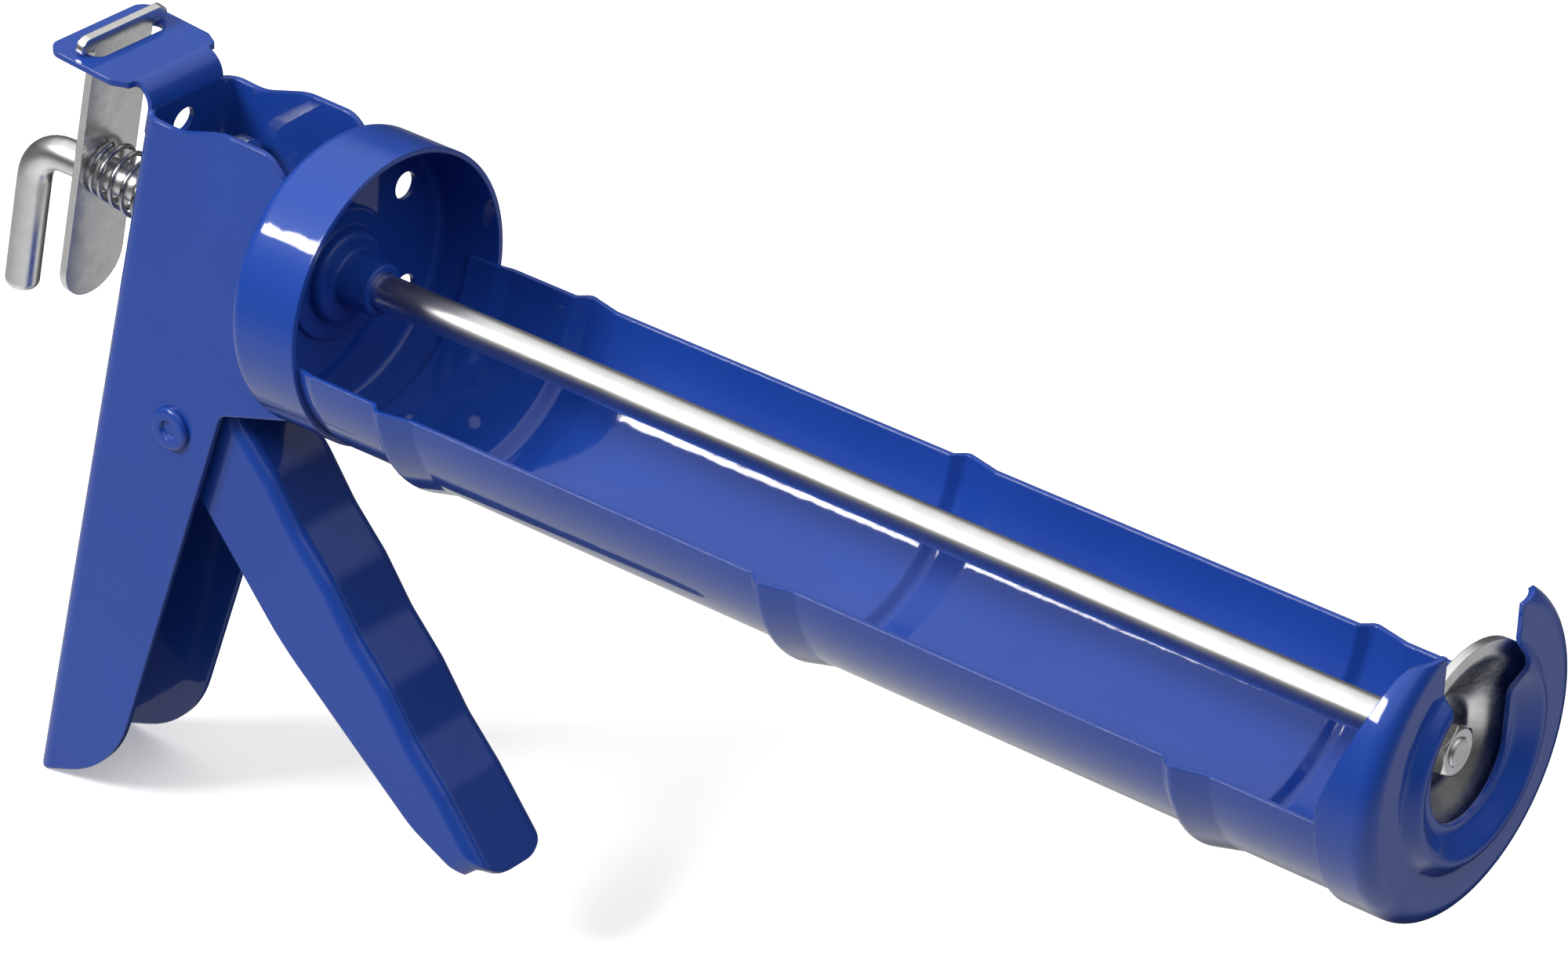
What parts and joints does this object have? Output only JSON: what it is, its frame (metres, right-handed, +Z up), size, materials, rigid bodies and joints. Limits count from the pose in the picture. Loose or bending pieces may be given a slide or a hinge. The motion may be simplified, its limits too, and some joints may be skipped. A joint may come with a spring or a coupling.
{
  "type": "caulking gun",
  "caption": "Half-barrel caulking gun in blue paint, with a squeezable trigger, a smooth push rod with an L-shaped hand end, a release plate and a slotted nose cap.",
  "frame": {"origin": "level with the lowest point of the handle's heel, under the middle of the object's length and width, with the barrel level", "axes": "+X forward along the barrel to the nose, +Y to the gun's left, +Z up"},
  "size_m": [0.3153, 0.0572, 0.1524],
  "materials": {
    "blue_paint": "gloss",
    "zinc": "bright zinc plate",
    "spring_steel": "drawn wire"
  },
  "bodies": {
    "frame": {"frame_shell": "blue_paint", "rear_cup": "blue_paint", "rod_guide": "blue_paint", "cradle": "blue_paint", "nose_cap": "blue_paint", "pivot_rivet": "blue_paint", "pivot_sleeve": "zinc", "spring_washer": "zinc", "return_spring": "spring_steel", "release_spring": "spring_steel"},
    "trigger": {"trigger": "blue_paint"},
    "drive": {"drive_plate_rear": "zinc", "drive_plate_front": "zinc"},
    "piston": {"piston_plate": "zinc"},
    "rod": {"push_rod": "zinc", "piston_washer": "zinc", "piston_nut": "zinc"},
    "release": {"release_plate": "zinc"}
  },
  "joints": [
    {"name": "trigger_pivot", "type": "hinge", "parent": "frame", "child": "trigger", "pos_m": [-0.10744, 0, 0.08421], "axis": [0, 1, 0], "range_deg": [0, 24], "stiffness_Nm_per_rad": 0.15, "springref_deg": -11.46},
    {"name": "drive_slide", "type": "slide", "parent": "frame", "child": "drive", "axis": [1, 0, 0], "range_m": [0, 0.01137], "deforming": ["return_spring"]},
    {"name": "rod_slide", "type": "slide", "parent": "frame", "child": "piston", "axis": [1, 0, 0], "range_m": [-0.213, 0]},
    {"name": "rod_spin", "type": "hinge", "parent": "piston", "child": "rod", "pos_m": [-0.14974, 0, 0.1213], "axis": [1, 0, 0], "continuous": true},
    {"name": "release_tilt", "type": "hinge", "parent": "frame", "child": "release", "pos_m": [-0.12929, 0, 0.14946], "axis": [0, -1, 0], "range_deg": [0, 8], "stiffness_Nm_per_rad": 0.02, "springref_deg": -11.46, "deforming": ["release_spring"]}
  ],
  "couplings": [
    {"joint": "drive_slide", "follows": "trigger_pivot", "m_per_rad": 0.02715}
  ]
}
